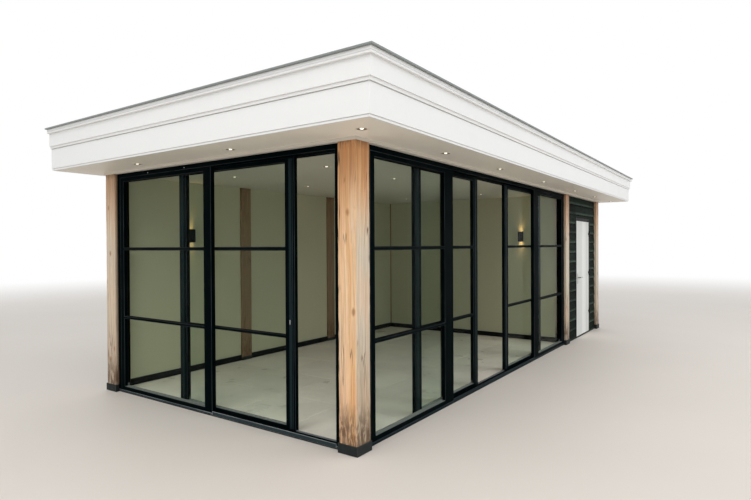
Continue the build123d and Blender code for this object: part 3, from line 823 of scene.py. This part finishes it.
def laid_boards(tree, coat, values):
    """What the board tree makes with the given inputs, as a plain mesh with no modifier left."""
    holder = placed("pattern", bpy.data.meshes.new("pattern"))
    modifier = holder.modifiers.new("pattern", "NODES")
    modifier.node_group = tree
    names = {item.name: item.identifier for item in tree.interface.items_tree
             if item.in_out == "INPUT"}
    for label, value in {**values, "Material": finish(coat)}.items():
        modifier[names[label]] = value
    depsgraph = bpy.context.evaluated_depsgraph_get()
    result = bpy.data.meshes.new_from_object(
        holder.evaluated_get(depsgraph), preserve_all_data_layers=True, depsgraph=depsgraph)
    holder.modifiers.remove(modifier)
    bpy.data.objects.remove(holder)
    if not result.polygons:
        raise RuntimeError("the board tree made no faces")
    return result


def joined(meshes):
    """Several plain meshes as one, with their attributes and materials."""
    holders = [placed("joining", data) for data in meshes]
    if len(holders) > 1:
        with bpy.context.temp_override(
            active_object=holders[0], object=holders[0],
            selected_objects=holders, selected_editable_objects=holders,
        ):
            bpy.ops.object.join()
    result = holders[0].data
    bpy.data.objects.remove(holders[0])
    return result


# Operators


class PodOperator:
    """What the operators of the pod have in common."""

    bl_options = {"REGISTER", "UNDO"}


def cut_round(tile, posts):
    """A rectangle in plan without the parts that posts stand on, as rectangles."""
    parts = [tile]
    for low, high in posts:
        rest = []
        for x0, x1, y0, y1 in parts:
            if x1 <= low.x or x0 >= high.x or y1 <= low.y or y0 >= high.y:
                rest.append((x0, x1, y0, y1))
                continue
            middle = (max(x0, low.x), min(x1, high.x))
            if x0 < low.x:
                rest.append((x0, low.x, y0, y1))
            if x1 > high.x:
                rest.append((high.x, x1, y0, y1))
            if y0 < low.y:
                rest.append((*middle, y0, low.y))
            if y1 > high.y:
                rest.append((*middle, high.y, y1))
        parts = rest
    return parts


class POD_OT_floor(PodOperator, bpy.types.Operator):
    """Lays square tiles with open joints inside the walls"""

    bl_idname = "pod.floor"
    bl_label = "Floor tiles"

    def execute(self, context):
        """Lowers the bed under the joints and cuts the tiles to the two rooms."""
        size = context.scene.pod_sizes
        side, half_joint = size.tile_size, size.tile_joint / 2
        drop, thick, least, slack = 0.004, 0.012, 0.01, 0.001
        low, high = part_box("floor_slab")
        wall_low, wall_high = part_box("partition")
        bed = cad_copy("floor_slab")
        for vertex in bed.verts:
            if vertex.co.z > high.z - slack:
                vertex.co.z -= drop
        piece("floor_bed", bed, "joint_mortar", ("floor_slab",))
        mesh = bmesh.new()
        posts = cad_boxes("oak_posts")
        rows = range(math.ceil((high.y - low.y) / side))
        for x0, x1 in ((low.x, wall_low.x), (wall_high.x, high.x)):
            for column in range(math.floor((x0 - low.x) / side), math.ceil((x1 - low.x) / side)):
                for row in rows:
                    tile = (
                        max(x0, low.x + column * side) + half_joint,
                        min(x1, low.x + (column + 1) * side) - half_joint,
                        low.y + row * side + half_joint,
                        min(high.y, low.y + (row + 1) * side) - half_joint,
                    )
                    for a, b, c, d in cut_round(tile, posts):
                        if b - a > least and d - c > least:
                            box_into(mesh, (a, c, high.z - thick), (b, d, high.z))
        round_edges(mesh, EDGE["tile"], 1)
        piece("floor_tiles", mesh, "floor_tile")
        return {"FINISHED"}


class POD_OT_posts(PodOperator, bpy.types.Operator):
    """Makes the oak posts with worn edges, and their steel shoes"""

    bl_idname = "pod.posts"
    bl_label = "Posts and shoes"

    def execute(self, context):
        """Rounds each post, its edges chipped by a different width at each level."""
        size = context.scene.pod_sizes
        draw = random.Random(size.seed + 1)
        levels, hollow, least, spread, corner_points = 36, 0.35, 0.6, 0.9, 3
        mesh = bmesh.new()
        for low, high in cad_boxes("oak_posts"):
            rings = []
            for i in range(levels + 1):
                z = low.z + (high.z - low.z) * i / levels
                chips = [size.post_edge * (least + spread * draw.random()) for _ in range(4)]
                points = []
                for chip, (sx, sy) in zip(chips, ((0, 0), (1, 0), (1, 1), (0, 1))):
                    x, y = (low, high)[sx].x, (low, high)[sy].y
                    dx, dy = (chip, -chip)[sx], (chip, -chip)[sy]
                    corner = [(x, y + dy), (x + dx * hollow, y + dy * hollow), (x + dx, y)]
                    points += reversed(corner) if sx != sy else corner
                rings.append([mesh.verts.new((x, y, z)) for x, y in points])
            count = len(rings[0])
            for lower, upper in zip(rings, rings[1:]):
                for k in range(count):
                    j = (k + 1) % count
                    face = mesh.faces.new((lower[k], lower[j], upper[j], upper[k]))
                    face.smooth = k % corner_points != corner_points - 1
            mesh.faces.new(rings[0][::-1])
            mesh.faces.new(rings[-1])
        bmesh.ops.recalc_face_normals(mesh, faces=mesh.faces)
        piece("oak_post_timbers", mesh, "oak_timber", ("oak_posts",))
        softened("post_shoe_plates", "post_shoes", "shoe_coat", EDGE["shoe"])
        return {"FINISHED"}


def pane_row(frame_node):
    """The clear stretch between an outer frame's two jambs, along the wall."""
    low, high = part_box(frame_node)
    wide = 1 - through(low, high)
    middle = (low[wide] + high[wide]) / 2
    knee = (low.z + high.z) / 2
    points = [v.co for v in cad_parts[frame_node].data.vertices]
    feet = {round(point[wide], 5) for point in points if point.z < knee}
    return max(v for v in feet if v < middle), min(v for v in feet if v > middle)


class POD_OT_frames(PodOperator, bpy.types.Operator):
    """Makes the outer frames with their screws, the ribbed sills with tracks, and fixed lights"""

    bl_idname = "pod.frames"
    bl_label = "Frames and fixed lights"

    def execute(self, context):
        """Rounds the frames, lays ribs and tracks along the sills and sets the head's screws."""
        for name, node in (
            ("left_outer_frame", "left_frame"), ("front_outer_frame", "front_frame"),
            ("left_light_frame", "left_fixed_light"), ("front_light_frames", "front_fixed_lights"),
        ):
            softened(name, node, "frame_coat", context.scene.pod_sizes.frame_edge)
        ribs, tracks, screws = bmesh.new(), bmesh.new(), bmesh.new()
        self.sill("left", "left_fixed_light", 0, "sill_coat", ribs, tracks)
        self.sill("front", "front_fixed_lights", 1, "flat_coat", ribs, tracks)
        self.head_screws(screws)
        round_edges(ribs, EDGE["rib"])
        round_edges(tracks, EDGE["track"])
        piece("sill_ribs", ribs, "frame_coat")
        piece("leaf_tracks", tracks, "track_steel")
        piece("head_screws", screws, "satin_steel")
        return {"FINISHED"}

    def sill(self, side, lights, deep, coat, ribs, tracks):
        """Lays one sill: base, track, and an outer edge with a lip and ribs between the lights."""
        wide = 1 - deep
        node = side + "_frame_sill"
        low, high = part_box(node)
        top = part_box("floor_slab")[1].z
        thick, lip, gap, rib, rib_places = 0.005, 0.018, 0.010, 0.004, (0.012, 0.030)
        least, slack = 0.05, 0.0005
        base, nose = bmesh.new(), bmesh.new()
        inner = low.copy()
        inner[deep] += thick
        box_into(base, inner, (high.x, high.y, top))
        round_edges(base, EDGE["sill"])
        piece(side + "_sill", base, "frame_coat", (node,))
        start, end = pane_row(side + "_frame")
        raised = [v.co[deep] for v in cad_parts[node].data.vertices if v.co.z > top + slack]
        bar_into(tracks, deep, (start, end), (min(raised), max(raised)), (top, high.z))
        edges = [start, end]
        for light_low, light_high in cad_boxes(lights):
            edges += light_low[wide], light_high[wide]
        edges.sort()
        done, front = low[wide], (low[deep], low[deep] + thick)
        for a, b in zip(edges[0::2], edges[1::2]):
            if b - a < least:
                continue
            bar_into(nose, deep, (done, a), front, (gap, top))
            bar_into(nose, deep, (a, b), front, (gap, top + lip))
            done = b
            for shift in rib_places:
                at = low[deep] + shift
                bar_into(ribs, deep, (a, b), (at, at + rib), (top, top + rib))
        bar_into(nose, deep, (done, high[wide]), front, (gap, top))
        round_edges(nose, EDGE["nose"])
        piece(side + "_sill_nose", nose, coat)

    def head_screws(self, mesh):
        """Sets two flat screws in the left frame's head, near its far end."""
        low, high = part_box("left_frame")
        end = pane_row("left_frame")[1]
        radius, rise, drop, backs, steps = 0.006, 0.0016, 0.028, (0.55, 1.19), 16
        profile = ((radius, 0.001), (radius, -0.5 * rise), (0.78 * radius, -rise),
                   (0.0, -1.05 * rise))
        for back in backs:
            centre = (low.x, end - back, high.z - drop)
            foot, faces = lathe_into(mesh, profile, centre, steps, (1, 2, 0))
            bmesh.ops.recalc_face_normals(mesh, faces=[mesh.faces.new(foot), *faces])


class POD_OT_leaves(PodOperator, bpy.types.Operator):
    """Makes the three sliding leaves and their pulls"""

    bl_idname = "pod.leaves"
    bl_label = "Sliding leaves"

    def execute(self, context):
        """Rounds each leaf's frame and its pull, and lays a raised flat down both stiles."""
        size = context.scene.pod_sizes
        margin, sunk = 0.012, 0.003
        for stem, body in LEAVES.items():
            softened(stem + "_stiles", stem + "_frame", "frame_coat",
                     size.frame_edge, body=body)
            low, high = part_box(stem + "_frame")
            deep = through(low, high)
            start, end = low[1 - deep], high[1 - deep]
            flats = bmesh.new()
            for near, far, rise in ((0.020, 0.027, 0.0022), (0.038, 0.068, 0.0010)):
                for along in ((start + near, start + far), (end - far, end - near)):
                    bar_into(flats, deep, along, (low[deep] - rise, low[deep] + sunk),
                             (low.z + margin, high.z - margin))
            round_edges(flats, EDGE["flat"])
            # The flats' lighter coat is a painted sheen.
            piece(stem + "_flats", flats, "flat_coat", body=body)
            if stem == "left_leaf":
                self.flush_pull(body)
            else:
                softened(stem + "_grip", stem + "_pull", "lamp_coat",
                         EDGE["grip"], body=body)
        return {"FINISHED"}

    def flush_pull(self, body):
        """Builds the left leaf's pull: a dark plate with a steel finger piece low in its cup."""
        low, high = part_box("left_leaf_pull")
        rim, floor = 0.0035, 0.0022
        face, back, inset, foot, head = 0.0004, 0.0024, 0.0048, 0.012, 0.052
        plate, finger = bmesh.new(), bmesh.new()
        bars_round(plate, low, high, rim, 0, (low.x, high.x))
        box_into(plate, (low.x + floor, low.y, low.z), high)
        round_edges(plate, EDGE["pull"])
        piece("left_leaf_pull_plate", plate, "flat_coat", ("left_leaf_pull",), body)
        box_into(finger, (low.x + face, low.y + inset, low.z + foot),
                 (low.x + back, high.y - inset, low.z + head))
        round_edges(finger, EDGE["pull"])
        piece("left_leaf_pull_finger", finger, "satin_steel", body=body)


class POD_OT_glass(PodOperator, bpy.types.Operator):
    """Gives every pane its clear glass and its rubber gaskets"""

    bl_idname = "pod.glass"
    bl_label = "Glass"

    def execute(self, context):
        """Coats the panes, which keep their CAD shape, and lays the rubber on both faces."""
        proud, sunk = 0.003, 0.0005
        bodies = {"left_fixed": BUILDING, "front_fixed": BUILDING, **LEAVES}
        for stem, body in bodies.items():
            node = stem + "_glass"
            recoat(node, "clear_glass")
            rubber = bmesh.new()
            for low, high in cad_boxes(node):
                deep = through(low, high)
                for across in ((low[deep] - proud, low[deep] + sunk),
                               (high[deep] - sunk, high[deep] + proud)):
                    bars_round(rubber, low, high, context.scene.pod_sizes.gasket_width, deep,
                               across)
            piece(node + "_rubber", rubber, "gasket_rubber", body=body)
        return {"FINISHED"}


class POD_OT_boards(PodOperator, bpy.types.Operator):
    """Covers the closed walls with black boards"""

    bl_idname = "pod.boards"
    bl_label = "Black boards"

    def execute(self, context):
        """Runs the board rows for each stretch of wall."""
        size = context.scene.pod_sizes
        tree = board_tree()
        door_low, door_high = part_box("storage_door_frame")
        low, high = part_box("front_cladding")
        front = [
            ((x0, high.y), x1 - x0, (z0, high.z), high.y - low.y)
            for x0, x1, z0 in ((low.x, door_low.x, low.z), (door_high.x, high.x, low.z),
                               (door_low.x, door_high.x, door_high.z))
        ]
        back = [((b.x, a.y), b.x - a.x, (a.z, b.z), b.y - a.y)
                for a, b in cad_boxes("back_cladding")]
        low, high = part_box("end_cladding")
        end = [((low.x, low.y), high.y - low.y, (low.z, high.z), high.x - low.x)]
        for side, stretches, turn, coat, seed in (
            ("front", front, 0.0, "front_boards", 0), ("back", back, math.pi, "front_boards", 10),
            ("end", end, math.pi / 2, "end_boards", 20),
        ):
            meshes = []
            for i, stretch in enumerate(stretches):
                meshes += self.wall(tree, size, *stretch, turn, coat, seed + i)
            piece(side + "_wall_boards", joined(meshes),
                  replaced=(side + "_cladding",))
        return {"FINISHED"}

    def wall(self, tree, size, corner, length, heights, depth, turn, coat, seed):
        """The rows of one stretch, its back at corner, with a cut board at its foot and head."""
        pitch, gap, jitter, least = size.board_pitch, 0.0015, 0.0012, 0.02
        foot_share, slack = 0.05, 0.0001
        bottom, top = heights
        first = math.ceil(bottom / pitch - foot_share) * pitch
        last = math.floor(top / pitch + slack) * pitch
        runs = [(first, pitch, round((last - first) / pitch))]
        if first - bottom > least:
            runs.append((bottom, first - bottom, 1))
        if top - last > least:
            runs.append((last, top - last, 1))
        lower = depth - jitter / 4
        return [
            laid_boards(tree, coat, {
                "Count": count, "Pitch": height, "Length": length, "Width": height - gap,
                "Lower thickness": lower, "Upper thickness": lower - size.board_step,
                "Edge radius": EDGE["board"], "Depth jitter": jitter,
                "Seed": size.seed * 31 + seed * 3 + k, "Turn": (0.0, 0.0, turn),
                "Place": (*corner, start),
            })
            for k, (start, height, count) in enumerate(runs)
        ]


class POD_OT_walls(PodOperator, bpy.types.Operator):
    """Paints the walls and the partition, and makes the skirting"""

    bl_idname = "pod.walls"
    bl_label = "Walls and skirting"

    def execute(self, context):
        """Coats the plain slabs and rounds the skirting."""
        for node in ("front_wall", "end_wall", "back_wall", "partition"):
            recoat(node, "room_paint")
        softened("skirting_boards", "skirting", "skirting_paint",
                 EDGE["skirting"])
        return {"FINISHED"}


class POD_OT_storage_door(PodOperator, bpy.types.Operator):
    """Makes the white boarded door with its frame, hinges and lever"""

    bl_idname = "pod.storage_door"
    bl_label = "Storage door"

    def execute(self, context):
        """Stands the upright boards side by side on a backing panel."""
        size = context.scene.pod_sizes
        thick, overlap, gap = 0.016, 0.004, 0.003
        low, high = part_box("storage_door_leaf")
        count = max(1, round((high.x - low.x) / size.door_board_pitch))
        pitch = (high.x - low.x) / count
        boards = laid_boards(board_tree(), "door_boards", {
            "Count": count, "Pitch": pitch, "Length": high.z - low.z, "Width": pitch - gap,
            "Lower thickness": thick, "Upper thickness": thick, "Edge radius": EDGE["door_board"],
            "Depth jitter": 0.0003, "Seed": size.seed, "Turn": (0.0, -math.pi / 2, 0.0),
            "Place": (high.x - gap / 2, low.y + thick, low.z),
        })
        piece("storage_door_boards", boards, body=DOOR)
        back = bmesh.new()
        box_into(back, (low.x, low.y + thick - overlap, low.z), high)
        round_edges(back, EDGE["door_panel"])
        piece("storage_door_panel", back, "door_boards", ("storage_door_leaf",), DOOR)
        softened("storage_door_surround", "storage_door_frame", "door_frame_coat",
                 EDGE["surround"])
        softened("storage_door_butts", "storage_hinges", "door_frame_coat",
                 EDGE["hinge"], 1)
        middle = (low.x + high.x) / 2
        for name, hinge_side, coat, replaced in (
            ("storage_door_furniture", False, "satin_steel", ("storage_door_fittings",)),
            ("storage_door_flags", True, "door_frame_coat", ()),
        ):
            part = cad_copy("storage_door_fittings")
            away = [f for f in part.faces if (f.calc_center_median().x > middle) != hinge_side]
            bmesh.ops.delete(part, geom=away, context="FACES")
            round_edges(part, EDGE["fitting"])
            piece(name, part, coat, replaced, DOOR)
        return {"FINISHED"}


class POD_OT_fascia(PodOperator, bpy.types.Operator):
    """Makes the rows of the fascia with open lines between them"""

    bl_idname = "pod.fascia"
    bl_label = "Fascia"

    def execute(self, context):
        """Builds each row as a ring, with an open line above it where the real one shows it."""
        size = context.scene.pod_sizes
        half_line = 0.001
        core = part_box("roof_rim")
        for row, node, gap in (
            ("cap", "fascia_cap", 0.0), ("upper", "fascia_upper", 0.0),
            ("joint", "fascia_strip", 0.0), ("lower", "fascia_lower", 1.0),
            ("bottom", "fascia_trim", 0.4),
        ):
            low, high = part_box(node)
            mesh = bmesh.new()
            top = high.z - size.shadow_gap * gap
            levels = [(low.z, top)]
            if row == "cap":
                split = low.z + 0.4 * (high.z - low.z)
                levels = [(low.z, split - half_line), (split + half_line, top)]
            for level in levels:
                ring_into(mesh, (low, high), core, *level)
            round_edges(mesh, EDGE["fascia"])
            piece("fascia_" + row + "_row", mesh, "fascia_paint", (node,))
        softened("roof_edge_trim", "roof_edge", "edge_coat", EDGE["roof_edge"])
        recoat("roof_rim", "hidden_timber")
        return {"FINISHED"}


class POD_OT_soffit(PodOperator, bpy.types.Operator):
    """Paints the soffit, the ceiling and the bead round the walls"""

    bl_idname = "pod.soffit"
    bl_label = "Soffit and ceiling"

    def execute(self, context):
        """Coats the sheets and rounds the bead."""
        recoat("soffit", "soffit_paint")
        recoat("ceiling", "ceiling_paint")
        # The bead is coated in painted shade, darker than the soffit.
        softened("soffit_bead_strip", "soffit_bead", "bead_paint", EDGE["bead"])
        return {"FINISHED"}


class POD_OT_roof(PodOperator, bpy.types.Operator):
    """Lays the roof membrane in overlapping sheets"""

    bl_idname = "pod.roof"
    bl_label = "Roof membrane"

    def execute(self, context):
        """Adds the welded laps on the deck."""
        size = context.scene.pod_sizes
        wide, thick = 0.055, 0.003
        recoat("roof_deck", "roof_sheet")
        low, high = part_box("roof_deck")
        count = max(1, round((high.x - low.x) / size.membrane_sheet))
        pitch = (high.x - low.x) / count
        laps = laid_boards(board_tree(), "roof_sheet", {
            "Count": count - 1, "Pitch": pitch, "Length": high.y - low.y, "Width": wide,
            "Lower thickness": thick, "Upper thickness": thick, "Edge radius": EDGE["lap"],
            "Depth jitter": 0.0, "Seed": size.seed, "Turn": (math.pi / 2, 0.0, math.pi / 2),
            "Place": (low.x + pitch - wide / 2, low.y, high.z + 0.9 * thick),
        })
        piece("roof_sheet_laps", laps)
        return {"FINISHED"}


class POD_OT_spots(PodOperator, bpy.types.Operator):
    """Makes the recessed spots: ring, cup and lit lens"""

    bl_idname = "pod.spots"
    bl_label = "Recessed spots"

    def execute(self, context):
        """Sets one lathed spot at every place that the CAD has one."""
        steps = 28
        for name, coat, replaced, profile in (
            ("spot_rings", "ring_coat", ("spots",), (
                (0.0400, 0.0080), (0.0400, 0.0016), (0.0425, 0.0003), (0.0470, 0.0),
                (0.0512, 0.0012), (0.0520, 0.0030), (0.0420, 0.0030))),
            ("spot_cups", "cup_dark", (), ((0.0400, 0.0022), (0.0300, 0.0048), (0.0145, 0.0056))),
            ("spot_lenses", "spot_lens", (), (
                (0.0148, 0.0058), (0.0142, 0.0026), (0.0105, 0.0004), (0.0, -0.0002))),
        ):
            mesh = bmesh.new()
            for low, high in cad_boxes("spots"):
                centre = ((low.x + high.x) / 2, (low.y + high.y) / 2, low.z)
                for face in lathe_into(mesh, profile, centre, steps)[1]:
                    face.smooth = True
            piece(name, mesh, coat, replaced)
        return {"FINISHED"}


class POD_OT_wall_lights(PodOperator, bpy.types.Operator):
    """Makes the two wall lamps with a lit lens above and below"""

    bl_idname = "pod.wall_lights"
    bl_label = "Wall lamps"

    def execute(self, context):
        """Builds each body as an open tube round a core, with a lens on both ends of the core."""
        bodies, lenses = bmesh.new(), bmesh.new()
        wall, deep, radius, proud, steps = 0.004, 0.078, 0.028, 0.0008, 24
        for low, high in cad_boxes("wall_lights"):
            inner = (low.x + wall, high.x - wall)
            for x, y in (
                ((low.x, inner[0]), (low.y, high.y)), ((inner[1], high.x), (low.y, high.y)),
                (inner, (low.y, low.y + wall)), (inner, (high.y - wall, high.y)),
            ):
                bar_into(bodies, 0, y, x, (low.z, high.z))
            inset = Vector((wall, wall, deep))
            box_into(bodies, low + inset, high - inset)
            centre = (low + high) / 2
            rise = centre.z - low.z - deep + proud
            lenses.faces.new(circle_into(lenses, centre, radius, -rise, steps)[::-1])
            lenses.faces.new(circle_into(lenses, centre, radius, rise, steps))
        round_edges(bodies, EDGE["lamp"], 1)
        piece("wall_lamp_bodies", bodies, "lamp_coat", ("wall_lights",))
        piece("wall_lamp_lenses", lenses, "lamp_lens")
        return {"FINISHED"}


class POD_OT_stage(PodOperator, bpy.types.Operator):
    """Sets the camera, the soft light and the pale floor"""

    bl_idname = "pod.stage"
    bl_label = "Stage"

    def execute(self, context):
        """Builds the floor, world, lamps and camera."""
        self.floor()
        self.world(context.scene)
        self.lamp("sky_left", (-9.0, -3.0, 9.0), 9.0, 420.0, (1.0, 0.99, 0.97))
        self.lamp("sky_front", (1.0, -11.0, 9.0), 10.0, 420.0, (0.97, 0.985, 1.0))
        self.camera(context.scene)
        context.scene.view_settings.view_transform = "Standard"
        return {"FINISHED"}

    def floor(self):
        """A plain pale floor that fades to white far from the pod."""
        reach, squares, below, fade = 60.0, 8, 0.0005, (9.0, 26.0)
        mesh = bmesh.new()
        bmesh.ops.create_grid(mesh, x_segments=squares, y_segments=squares, size=reach)
        ground = placed("stage_floor", as_mesh("stage_floor", mesh))
        ground.location.z = -below
        material, page, shader, place = new_material("stage_floor")
        cloud = page.noise(place, 0.6, 4.0)
        page.put(shader, "Base Color", page.mix(
            cloud, (0.70, 0.64, 0.577, 1), (0.755, 0.69, 0.627, 1)))
        shader.inputs["Roughness"].default_value = 0.6
        far = page.band(page.vectors("LENGTH", {0: place})[1], *fade)
        white = page.add("ShaderNodeEmission")
        two_shaders(material, page, far, shader.outputs[0], white[0])
        ground.data.materials.append(material)

    def world(self, scene):
        """Even daylight, with plain white behind the pod."""
        scene.world = bpy.data.worlds.new("daylight")
        scene.world.use_nodes = True
        page = Sheet(scene.world.node_tree)
        back = page.tree.nodes["Background"]
        path = page.add("ShaderNodeLightPath")
        seen = page.plus(path["Is Camera Ray"], path["Is Transmission Ray"], clamp=True)
        seen = page.plus(seen, path["Is Glossy Ray"], clamp=True)
        page.put(back, "Color", page.mix(seen, (0.93, 0.965, 1.0, 1), (1.0, 1.0, 1.0, 1)))
        page.put(back, "Strength", page.band(seen, 0.0, 1.0, 0.78, 1.0))

    def lamp(self, name, spot, width, watts, colour):
        """One large soft lamp that points at the pod."""
        data = bpy.data.lights.new(name, "AREA")
        data.shape = "SQUARE"
        data.size = width
        data.energy = watts
        data.color = colour
        light = placed(name, data)
        light.location = spot
        aim = POD_MIDDLE - Vector(spot)
        light.rotation_euler = aim.to_track_quat("-Z", "Y").to_euler()

    def camera(self, scene):
        """The viewing point, turn and lens worked out from the picture's edges."""
        yaw, pitch, roll = [math.radians(turn) for turn in (34.867, -0.488, -0.300)]
        eye, focal_pixels, picture_width, sensor = (-7.4769, -4.2711, 1.675), 545.09, 751.0, 36.0
        ahead = Vector((
            math.cos(yaw) * math.cos(pitch), math.sin(yaw) * math.cos(pitch), math.sin(pitch)))
        right = Vector((math.sin(yaw), -math.cos(yaw), 0.0))
        up = right.cross(ahead)
        right, up = (
            math.cos(roll) * right + math.sin(roll) * up,
            -math.sin(roll) * right + math.cos(roll) * up,
        )
        data = bpy.data.cameras.new("view")
        data.lens = focal_pixels * sensor / picture_width
        data.sensor_width = sensor
        data.clip_end = 200.0
        view = placed("view", data)
        turn = Matrix((right, up, -ahead)).transposed()
        view.matrix_world = Matrix.Translation(eye) @ turn.to_4x4()
        scene.camera = view


PIECES = (
    POD_OT_stage, POD_OT_floor, POD_OT_posts, POD_OT_frames, POD_OT_leaves, POD_OT_glass,
    POD_OT_boards, POD_OT_walls, POD_OT_storage_door, POD_OT_fascia, POD_OT_soffit, POD_OT_roof,
    POD_OT_spots, POD_OT_wall_lights,
)


class POD_PT_panel(bpy.types.Panel):
    """Lists the settings and the makers of the pod"""

    bl_idname = "POD_PT_panel"
    bl_label = "Garden office pod"
    bl_space_type = "VIEW_3D"
    bl_region_type = "UI"
    bl_category = "Pod"

    def draw(self, context):
        """Draws the sizes, the colours and one button for each operator."""
        for group in (context.scene.pod_sizes, context.scene.pod_colours):
            column = self.layout.column(align=True)
            for key in group.__annotations__:
                column.prop(group, key)
        column = self.layout.column(align=True)
        for maker in PIECES:
            column.operator(maker.bl_idname)


CLASSES = (PodSizes, PodColours, *PIECES, POD_PT_panel)


def register():
    """Registers the classes and the settings."""
    for item in CLASSES:
        bpy.utils.register_class(item)
    bpy.types.Scene.pod_sizes = PointerProperty(type=PodSizes)
    bpy.types.Scene.pod_colours = PointerProperty(type=PodColours)


def unregister():
    """Removes the settings and the classes."""
    del bpy.types.Scene.pod_colours
    del bpy.types.Scene.pod_sizes
    for item in reversed(CLASSES):
        bpy.utils.unregister_class(item)


def main():
    """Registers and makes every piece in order."""
    register()
    for maker in PIECES:
        group, call = maker.bl_idname.split(".")
        getattr(getattr(bpy.ops, group), call)()


if __name__ == "__main__":
    main()
